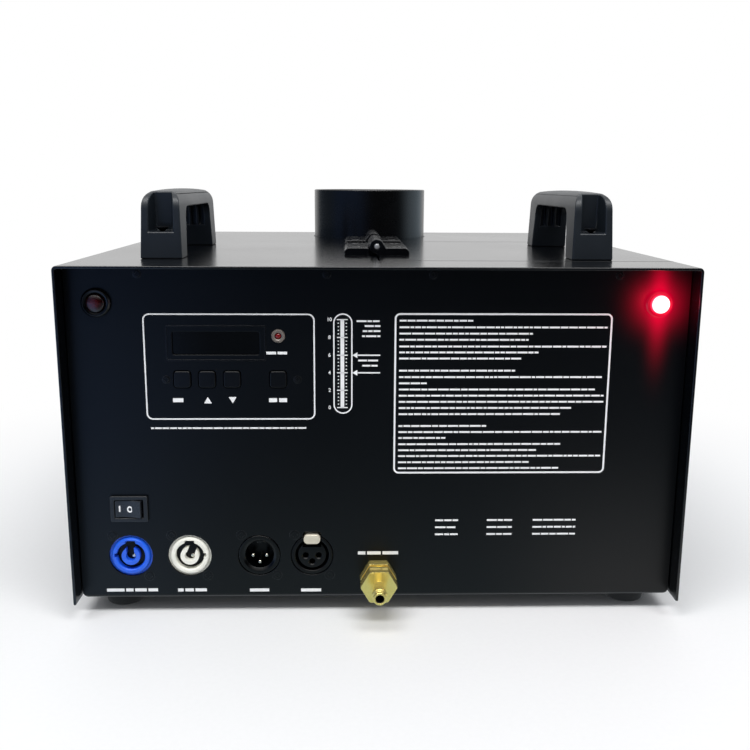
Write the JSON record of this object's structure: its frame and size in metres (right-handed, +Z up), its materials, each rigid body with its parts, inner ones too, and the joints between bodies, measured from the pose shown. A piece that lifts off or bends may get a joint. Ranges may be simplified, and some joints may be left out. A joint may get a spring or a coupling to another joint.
{
  "type": "stage flame machine",
  "caption": "Low metal case with recessed control panel, top flame tube, two carrying handles, hinged canister lid, round connectors and brass gas inlet.",
  "frame": {"origin": "centre of the bounding box in X and Y, at the floor under the feet", "axes": "+X to the machine's right seen from its front panel, +Y from the front panel to the back, +Z up along the flame tube"},
  "size_m": [0.332, 0.3556, 0.2325],
  "materials": {
    "hood_paint": "satin powder coat, fine texture",
    "lid_paint": "satin powder coat, fine texture",
    "panel_paint": "satin powder coat",
    "tube_paint": "heat-proof matte paint",
    "handle_plastic": "fine grain",
    "hinge_plastic": "fine grain",
    "pin_steel": "ground",
    "lock_metal": "plated",
    "foot_rubber": "matte",
    "burner_steel": "galvanised sheet",
    "brass": "turned",
    "ceramic": "glazed ceramic",
    "electrode_steel": "drawn wire",
    "coil_plastic": "moulded",
    "cup_plastic": "moulded",
    "supply_case": "plain sheet",
    "transformer_resin": "potted",
    "board_green": "solder mask",
    "window_pane": "smoked clear plastic",
    "signal_ring": "plated",
    "signal_lens": "clear red",
    "button_plastic": "moulded",
    "bezel_plastic": "smooth",
    "lens_dark": "unlit red lens",
    "lens_lit": "lit red lens",
    "switch_plastic": "smooth",
    "rocker_plastic": "smooth with plain marks",
    "inlet_blue": "moulded",
    "outlet_pale": "moulded",
    "shell_metal": "black plated die casting",
    "contact_metal": "plated pins",
    "shell_plastic": "moulded",
    "latch_metal": "plated tab"
  },
  "bodies": {
    "case": {"bay_wall": "burner_steel", "burner_bracket": "burner_steel", "burner_nozzle": "brass", "canister_coil": "coil_plastic", "canister_coupling": "brass", "canister_cup": "cup_plastic", "canister_link": "brass", "canister_pipe": "brass", "canister_valve": "brass", "chassis": "panel_paint", "control_in_contacts": "contact_metal", "control_in_shell": "shell_metal", "control_out_shell": "shell_plastic", "display_board": "board_green", "display_window": "window_pane", "electrode_left": "electrode_steel", "electrode_right": "electrode_steel", "flame_tube": "tube_paint", "foot_front_left": "foot_rubber", "foot_front_right": "foot_rubber", "foot_rear_left": "foot_rubber", "foot_rear_right": "foot_rubber", "gas_block": "brass", "gas_nipple": "brass", "gas_nut": "brass", "handle_left": "handle_plastic", "hinge_leaf_front": "hinge_plastic", "hinge_leaf_rear": "hinge_plastic", "hinge_pin_front": "pin_steel", "hinge_pin_rear": "pin_steel", "hood": "hood_paint", "ignition_transformer": "transformer_resin", "insulator_left": "ceramic", "insulator_right": "ceramic", "lamp_bezel_left": "bezel_plastic", "lamp_bezel_right": "bezel_plastic", "lamp_lens_left": "lens_dark", "lamp_lens_right": "lens_lit", "mains_inlet": "inlet_blue", "mains_outlet": "outlet_pale", "power_supply": "supply_case", "propane_coil": "coil_plastic", "propane_pipe": "brass", "propane_valve": "brass", "rear_panel": "panel_paint", "signal_holder": "signal_ring", "signal_lamp": "signal_lens", "switch_body": "switch_plastic"},
    "lid": {"lid": "lid_paint", "handle_right": "handle_plastic", "lid_leaf_front": "hinge_plastic", "lid_leaf_rear": "hinge_plastic", "lock_housing": "lock_metal"},
    "lock": {"lock_core": "lock_metal"},
    "rocker": {"rocker": "rocker_plastic"},
    "button_mode": {"button_mode": "button_plastic"},
    "button_up": {"button_up": "button_plastic"},
    "button_down": {"button_down": "button_plastic"},
    "button_reset": {"button_reset": "button_plastic"},
    "latch": {"control_out_latch": "latch_metal"}
  },
  "joints": [
    {"name": "lid_hinge", "type": "hinge", "parent": "case", "child": "lid", "pos_m": [0, -0.0352, 0.1999], "axis": [0, -1, 0], "range_deg": [0, 145]},
    {"name": "lock_turn", "type": "hinge", "parent": "lid", "child": "lock", "pos_m": [0.166, -0.0352, 0.1795], "axis": [1, 0, 0], "range_deg": [0, 90]},
    {"name": "rocker_tilt", "type": "hinge", "parent": "case", "child": "rocker", "pos_m": [-0.136, -0.146, 0.0617], "axis": [0, 0, 1], "range_deg": [0, 16]},
    {"name": "button_mode_press", "type": "slide", "parent": "case", "child": "button_mode", "axis": [0, 1, 0], "range_m": [0, 0.001], "stiffness_N_per_m": 400},
    {"name": "button_up_press", "type": "slide", "parent": "case", "child": "button_up", "axis": [0, 1, 0], "range_m": [0, 0.001], "stiffness_N_per_m": 400},
    {"name": "button_down_press", "type": "slide", "parent": "case", "child": "button_down", "axis": [0, 1, 0], "range_m": [0, 0.001], "stiffness_N_per_m": 400},
    {"name": "button_reset_press", "type": "slide", "parent": "case", "child": "button_reset", "axis": [0, 1, 0], "range_m": [0, 0.001], "stiffness_N_per_m": 400},
    {"name": "latch_press", "type": "slide", "parent": "case", "child": "latch", "axis": [0, 0, -1], "range_m": [0, 0.0014], "stiffness_N_per_m": 500, "springref_m": -0.0005}
  ]
}
